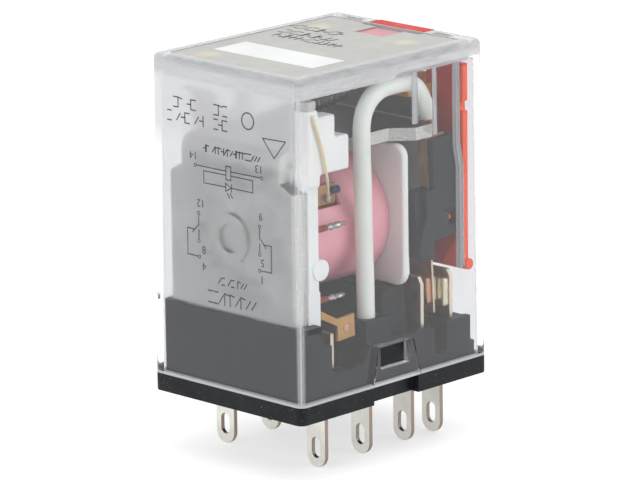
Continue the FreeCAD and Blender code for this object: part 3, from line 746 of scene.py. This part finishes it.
def add_coil_pins():
    """Winding-end pins: bare pin, a few turns of wire near the flange and lumpy solder over the rest."""
    ahead = (1, 0, 0)
    pins, wraps, solder = [], [], []
    for side, sign in SIDES:
        for z, tip in ((19.1, -4.25), (11.6, -4.65)):
            start = Vector((-9.4, -7.45, z))
            length = tip - start.x
            rod = [(0, 0.22), (length - 0.12, 0.22), (length - 0.03, 0.17), (length, 0.08)]
            pins.append(each_side(lathe(start, ahead, rod, sides=14), sign))
            turns = helix(start + Vector((0.5, 0, 0)), start + Vector((2.3, 0, 0)), 0.27, 9)
            wraps.append(each_side(tube(turns, 0.075, sides=6), sign))

            def lump(along, turn, seed=z + sign):
                return 1 + 0.2 * math.sin(along * 5.3 + seed) + 0.13 * math.sin(turn * 2 + along * 9 + seed)

            drop = [(1.9 + (length - 2.0) * k / 16, 0.31 * math.sin(math.pi * (k + 0.6) / 17.2) ** 0.35)
                    for k in range(17)]
            solder.append(each_side(lathe(start, ahead, drop, sides=16, lump=lump), sign))
    add_piece("coil_pin_rods", pins, "relay", "tinned_pin", replaces=("coil_pins",))
    add_piece("coil_pin_wraps", wraps, "relay", "copper")
    add_piece("coil_pin_solder", solder, "relay", "tinned_pin", finish="solder", sharp_deg=80)


def add_small_marks():
    """Weld spots on the coil tabs and the red stop that shows in each card's recess."""
    left = (0, -1, 0)
    dome = [(0, 0.5), (0.08, 0.5), (0.13, 0.44), (0.16, 0.3), (0.15, 0.08)]
    button = [(0, 0.3), (0.3, 0.3), (0.38, 0.24), (0.4, 0.06)]
    for side, sign in SIDES:
        spot = lathe((-5.75, -8.84, 8.5), left, dome, sides=28)
        add_piece("weld_spot_" + side, [each_side(spot, sign)], "relay", finish="weld")
        stop = lathe((9.45, -8.25, 17.05), left, button, sides=20)
        add_piece("card_stop_" + side, [each_side(swung_open(stop), sign)], "armature", "red_plastic")


def add_indicator():
    """Small lamp board in the tape's cut-out: resistor, solder joint, and the lead down from the lamp."""
    corners = ((-10.8, -9.27, 31.6), (-9.5, -9.27, 28.0), (-8.8, -9.35, 24.7), (-5.45, -6.15, 21.7))
    route = rounded_route([Vector(p) for p in corners], (3.0, 0.8), step=0.2)
    add_piece("indicator_lead", [tube(route, 0.19, sides=12, flat=0.75)], "relay", "cream_wire",
              replaces=("indicator_wire",))
    blob = [(-0.46, 0.1), (-0.4, 0.24), (-0.22, 0.38), (0.05, 0.44), (0.26, 0.36), (0.42, 0.2), (0.5, 0.08)]

    def lump(along, turn):
        return 1 + 0.1 * math.sin(2 * turn + along * 6)

    joint = lathe((-5.35, -6.0, 21.62), (0.8, 0.45, -0.45), blob, sides=18, lump=lump)
    add_piece("indicator_solder", [joint], "relay", "tinned_pin", finish="solder", sharp_deg=80)
    waist = [(0, 0.12), (0.03, 0.33), (0.1, 0.41), (0.25, 0.42), (0.5, 0.38), (0.75, 0.42), (0.9, 0.41),
             (0.97, 0.33), (1.0, 0.12)]
    add_piece("indicator_resistor_body", [lathe((-4.75, -5.95, 22.3), (1, 0, 0), waist, sides=24)],
              "relay", "blue_resistor", replaces=("indicator_resistor",))


def contact_bar(x0, x1, y, z, half_y, half_z, round_low, round_high, corner=0.4):
    """Upright contact bar across a strip; its free faces are rounded over."""

    def ring(x, inset):
        points = []
        for sign_y, sign_z, first in ((1, 1, 0), (-1, 1, 90), (-1, -1, 180), (1, -1, 270)):
            for step in range(7):
                turn = math.radians(first + step * 15)
                reach = corner - inset if inset < corner else 0.0
                points.append((x, y + sign_y * (half_y - corner) + math.cos(turn) * reach,
                               z + sign_z * (half_z - corner) + math.sin(turn) * reach))
        return points

    plain = ((0.0, 0.0),)
    rounding = ((0.0, 0.2), (0.03, 0.12), (0.08, 0.05), (0.16, 0.0))
    low = rounding if round_low else plain
    high = rounding if round_high else plain
    points = []
    for step, inset in low:
        points += ring(x0 + step, inset)
    for step, inset in reversed(high):
        points += ring(x1 - step, inset)
    return points, ring_band(points, 28)


def add_contacts():
    """Fixed bars on the normally open and closed strips, and the moving pair on each spring."""
    fixed = (("no_bar_", (5.7, 6.1, -6.7, 9.6, 1.5, 1.6, False, True), "no_contact_"),
             ("nc_bar_", (8.88, 9.6, -6.95, 9.25, 1.85, 1.62, True, False), "nc_contact_"))
    for side, sign in SIDES:
        for name, sizes, node in fixed:
            add_piece(name + side, [each_side(contact_bar(*sizes), sign)], "relay", "contact_silver",
                      replaces=(node + side,))
        back = swung_open(contact_bar(6.205, 6.92, -6.7, 9.6, 1.3, 1.5, True, False))
        front = swung_open(contact_bar(6.94, 7.775, -6.7, 9.6, 1.3, 1.5, False, True))
        add_piece("moving_bar_" + side, [each_side(front, sign)], "armature", "contact_silver",
                  replaces=("moving_contact_" + side,))
        # painted shade: the back half gets the darker copy of the contact silver
        add_piece("moving_bar_back_" + side, [each_side(back, sign)], "armature", finish="contact_silver_shaded")


EDGED_NODES = (
    ("base", "relay", "black_phenolic"), ("yoke", "relay", "plated_steel"),
    ("armature_card", "armature", "grey_moulding"), ("operating_tab", "armature", "amber_plastic"),
    ("armature_plate", "armature", "plated_steel"), ("test_lever", "test_slider", "red_plastic"),
    ("coil_tab_left", "relay", "brass_strip"), ("coil_tab_right", "relay", "brass_strip"),
    ("indicator_led", "relay", "led"), ("indicator_board", "relay", "tan_board"),
)
BLADES = ("coil_terminal", "common_terminal", "no_terminal", "nc_terminal")

# ------------------------------------------------------------------ printing

INK = 0.014
LINE = 0.11
BOX_FACES = [[3, 2, 1, 0], [4, 5, 6, 7], [0, 1, 5, 4], [1, 2, 6, 5], [2, 3, 7, 6], [3, 0, 4, 7]]


def stroke(points, width, lift):
    """Flat ink line through points of a plane; lift turns a plane point and a height into a place."""
    parts = []
    for a, b in zip(points, points[1:]):
        a, b = Vector(a), Vector(b)
        along = (b - a).normalized() * (width / 2)
        across = Vector((-along.y, along.x))
        corners = [a - along + across, a - along - across, b + along - across, b + along + across]
        outline = [lift(c, 0) for c in corners] + [lift(c, INK) for c in corners]
        parts.append((outline, BOX_FACES))
    return parts


def circle(centre, radius, width, lift, count=20):
    """Ring of ink in one closed band."""
    points = []
    for k in range(count):
        turn = math.tau * k / count
        for size, height in ((radius - width / 2, 0), (radius + width / 2, 0), (radius + width / 2, INK),
                             (radius - width / 2, INK)):
            spot = Vector(centre) + Vector((math.cos(turn), math.sin(turn))) * size
            points.append(lift(spot, height))
    return [(points, ring_band(points, 4, closed=True))]


def row_of_marks(start, end, height, width, lift, draw):
    """Stands for a line of small print: meaningless marks in place of letters."""
    start, end = Vector(start), Vector(end)
    along = (end - start).normalized()
    up = Vector((-along.y, along.x)) * height
    cell = height * 0.5
    pitch = cell * 1.28
    parts = []
    for k in range(int((end - start).length / pitch)):
        if draw.random() < 0.08:
            continue
        left = start + along * (k * pitch)
        right = left + along * cell
        shapes = (
            ((left, left + up), (left + up * 0.5, right + up * 0.5)),
            ((left + up, right + up), (left, right)),
            ((right, right + up), (left + up * 0.1, right)),
            ((left + up * 0.15, right + up * 0.85),),
        )
        for line in shapes[draw.randrange(4)]:
            parts += stroke(line, width, lift)
    return parts


def digits(text, size, place, lift):
    """Solid numerals, upside down and centred on place."""
    data = bpy.data.curves.new("digits", "FONT")
    data.body = text
    data.size = size
    data.align_x, data.align_y = "CENTER", "CENTER"
    holder = bpy.data.objects.new("digits", data)
    bpy.context.scene.collection.objects.link(holder)
    bpy.context.view_layer.update()
    flat = bpy.data.meshes.new_from_object(holder)
    bpy.data.objects.remove(holder)
    work = bmesh.new()
    work.from_mesh(flat)
    bmesh.ops.remove_doubles(work, verts=work.verts, dist=1e-5)
    made = bmesh.ops.extrude_face_region(work, geom=work.faces[:])
    for vertex in (v for v in made["geom"] if isinstance(v, bmesh.types.BMVert)):
        vertex.co.z = 1
    bmesh.ops.recalc_face_normals(work, faces=work.faces)
    points = []
    for vertex in work.verts:
        spot = -Vector((vertex.co.x, vertex.co.y))
        points.append(lift(Vector(place) + spot, INK * vertex.co.z))
    faces = [[v.index for v in face.verts] for face in work.faces]
    work.free()
    return [(points, faces)]


def on_end_wall(spot, height):
    """A point of the coil-end wall from (distance to the left of centre, z)."""
    outer = 14.0 - 0.22 * (spot.y - 1.9) / 33.9
    return Vector((-outer - 0.004 - height, -spot.x, spot.y))


def on_label(spot, height):
    """A point of the label plate from (x, y)."""
    return Vector((spot.x, spot.y, 35.722 + height))


def add_end_print():
    """Connection diagram with terminal numbers, upside down on the coil end; other text is only marks."""
    draw = random.Random(7)
    parts = []

    def wire(*spots):
        parts.extend(stroke([(-y, z) for y, z in spots], LINE, on_end_wall))

    def dot(y, z):
        parts.extend(circle((-y, z), 0.17, 0.08, on_end_wall))

    dot(4.1, 25.0)
    wire((3.95, 25.0), (-0.2, 25.03))
    wire((-1.0, 25.04), (-5.2, 25.1))
    dot(-5.4, 25.1)
    wire((-0.3, 25.55), (-1.0, 25.55), (-1.0, 24.15), (-0.3, 24.15), (-0.3, 25.55))
    wire((-0.2, 24.6), (2.9, 24.56), (2.9, 23.3), (-0.2, 23.35))
    wire((-1.1, 24.62), (-4.12, 24.63), (-4.12, 23.37), (-1.1, 23.35))
    wire((-0.25, 23.75), (-0.25, 22.95), (-1.05, 23.35), (-0.25, 23.75))
    wire((-1.1, 23.75), (-1.1, 22.95))
    wire((-0.5, 22.7), (-0.8, 22.3))
    wire((-0.9, 22.75), (-1.2, 22.35))
    for side in (1, -1):
        y = 3.72 if side > 0 else -5.03
        dot(y, 20.0)
        wire((y, 19.8), (y, 18.8), (y + side * 0.9, 17.9))
        wire((y + side * 0.75, 18.2), (y + side * 1.65, 18.22), (y + side * 1.65, 15.45),
             (y + side * 0.1, 15.42))
        dot(y - side * 0.05, 15.4)
        wire((y, 18.2), (y, 17.3))
        dot(y, 17.1)
    numbers = (("12", 3.4, 21.1), ("8", 3.0, 16.25), ("4", 3.0, 14.5), ("9", -5.2, 21.1),
               ("5", -5.4, 16.3), ("1", -5.3, 14.5), ("14", 4.4, 26.0), ("13", -5.0, 26.0))
    for number, y, z in numbers:
        parts.extend(digits(number, 1.15, (-y, z), on_end_wall))
    rows = ((4.0, 8.2, 31.7, 1.15), (2.9, 8.2, 30.2, 1.15), (-0.5, 2.1, 31.7, 1.15), (-0.5, 2.1, 30.2, 1.15),
            (-5.2, 3.7, 27.3, 0.75), (-3.1, 1.5, 13.7, 0.8), (-4.4, 2.9, 12.1, 1.35))
    for y0, y1, z, tall in rows:
        parts.extend(row_of_marks((-y0, z), (-y1, z), tall * 0.9, LINE * 1.15, on_end_wall, draw))
    parts.extend(circle((3.5, 30.7), 0.85, 0.14, on_end_wall, count=28))
    parts.extend(stroke([(5.6, 29.25), (8.8, 29.35), (7.2, 27.4), (5.6, 29.25)], LINE, on_end_wall))
    add_piece("end_print", parts, "relay", finish="print_ink", sharp_deg=20)


def add_label_print():
    """Write-on panel and three rows of marks on the label plate."""
    draw = random.Random(11)
    parts = []
    rows = ((4.9, 9.0, 0.7, 1.3), (2.4, 8.8, -0.2, 1.3), (0.6, 7.9, -3.6, 1.25))
    for x, y0, y1, tall in rows:
        parts.extend(row_of_marks((x, y0), (x, y1), tall, 0.15, on_label, draw))
    add_piece("label_marks", parts, "relay", finish="print_ink", sharp_deg=20)
    film = block((7.62, -2.03, 35.32), (10.83, 2.03, 35.6))
    add_piece("flag_window_film", [film], "relay", finish="flag_window", sharp_deg=20)
    panel = block((-8.15, -7.15, 35.718), (-3.45, 6.95, 35.74))
    add_piece("write_on_panel", [panel], "relay", finish="print_white", sharp_deg=20)


# ------------------------------------------------------------------ stage

FLOOR_SIZE = 3.0
CAMERA_AZIMUTH = -45.76
CAMERA_ELEVATION = 14.35
CAMERA_ROLL = -0.73
CAMERA_DISTANCE = 0.5219
CAMERA_TARGET = Vector((0, 0, 15.1 * MM))
CAMERA_LENS = 282.8
SENSOR_WIDTH = 36
BACKDROP = (0.716, 0.698, 0.0)
BACKDROP_STRENGTH, ROOM_STRENGTH = 1.02, 0.4
TOP_WATTS, LEFT_WATTS, FRONT_WATTS = 0.65, 0.95, 0.85
PAPER_TONES = ((0.54, 0.54, 0.54, 1), (0.56, 0.56, 0.56, 1))
PAPER_GLOW = 0.6


def add_camera():
    azimuth, elevation = math.radians(CAMERA_AZIMUTH), math.radians(CAMERA_ELEVATION)
    towards = Vector((math.sin(azimuth) * math.cos(elevation), -math.cos(azimuth) * math.cos(elevation),
                      math.sin(elevation)))
    data = bpy.data.cameras.new("camera")
    data.lens = CAMERA_LENS
    data.sensor_width = SENSOR_WIDTH
    data.clip_start = 0.01
    camera = bpy.data.objects.new("camera", data)
    bpy.context.scene.collection.objects.link(camera)
    turn = towards.to_track_quat("Z", "Y").to_matrix() @ Matrix.Rotation(math.radians(CAMERA_ROLL), 3, "Z")
    camera.matrix_world = Matrix.Translation(CAMERA_TARGET + towards * CAMERA_DISTANCE) @ turn.to_4x4()
    bpy.context.scene.camera = camera


def add_area_light(name, place, aim, size, power):
    data = bpy.data.lights.new(name, "AREA")
    data.shape = "RECTANGLE"
    data.size, data.size_y = size
    data.energy = power
    lamp = bpy.data.objects.new(name, data)
    bpy.context.scene.collection.objects.link(lamp)
    place = Vector(place)
    turn = (place - Vector(aim)).to_track_quat("Z", "Y").to_matrix()
    lamp.matrix_world = Matrix.Translation(place) @ turn.to_4x4()


def add_world():
    """White backdrop behind the relay that darkens towards the room in front of it."""
    world = bpy.data.worlds.new("studio")
    world.use_nodes = True
    tree = world.node_tree
    coordinates = tree.nodes.new("ShaderNodeTexCoord")
    towards_backdrop = tree.nodes.new("ShaderNodeVectorMath")
    towards_backdrop.operation = "DOT_PRODUCT"
    tree.links.new(coordinates.outputs["Generated"], towards_backdrop.inputs[0])
    towards_backdrop.inputs[1].default_value = BACKDROP
    fade = tree.nodes.new("ShaderNodeMapRange")
    ends = (("From Min", -0.5), ("From Max", 0.6), ("To Min", ROOM_STRENGTH), ("To Max", BACKDROP_STRENGTH))
    for key, number in ends:
        fade.inputs[key].default_value = number
    tree.links.new(towards_backdrop.outputs["Value"], fade.inputs["Value"])
    tree.links.new(fade.outputs["Result"], tree.nodes["Background"].inputs["Strength"])
    tree.nodes["Background"].inputs["Color"].default_value = WHITE
    bpy.context.scene.world = world


def add_stage():
    bpy.ops.mesh.primitive_plane_add(size=FLOOR_SIZE, location=(0, 0, CAD_LOW.z))
    floor = bpy.context.object
    floor.name = "floor"
    paper = Shader("floor_paper", Roughness=0.9)
    paper.colour(paper.ramp(paper.noise(40, 2), (0.3, PAPER_TONES[0]), (0.7, PAPER_TONES[1])))
    paper.main.inputs["Emission Color"].default_value = WHITE
    paper.main.inputs["Emission Strength"].default_value = PAPER_GLOW
    floor.data.materials.append(paper.material)
    add_world()
    add_area_light("top_box", (-0.05, -0.1, 0.45), CAMERA_TARGET, (0.4, 0.4), TOP_WATTS)
    add_area_light("left_box", (-0.5, 0.05, 0.2), CAMERA_TARGET, (0.35, 0.35), LEFT_WATTS)
    add_area_light("front_box", (0.15, -0.5, 0.15), CAMERA_TARGET, (0.35, 0.35), FRONT_WATTS)
    bpy.context.scene.view_settings.view_transform = "Standard"


# ------------------------------------------------------------------ build

for entry in frame["record"]["subparts"]:
    shown = NODES[entry["node"]]
    shown.data.materials.clear()
    shown.data.materials.append(FINISHES[entry["material_slot"]])

for node, body, slot in EDGED_NODES:
    softened(node, body, slot)
for side, _ in SIDES:
    for blade in BLADES:
        softened(blade + "_" + side, "relay", "blade_metal", width=0.05)
add_return_spring()
add_leads()
add_tape()
add_coil_pins()
add_indicator()
add_small_marks()
add_contacts()
add_end_print()
add_label_print()
add_camera()
add_stage()
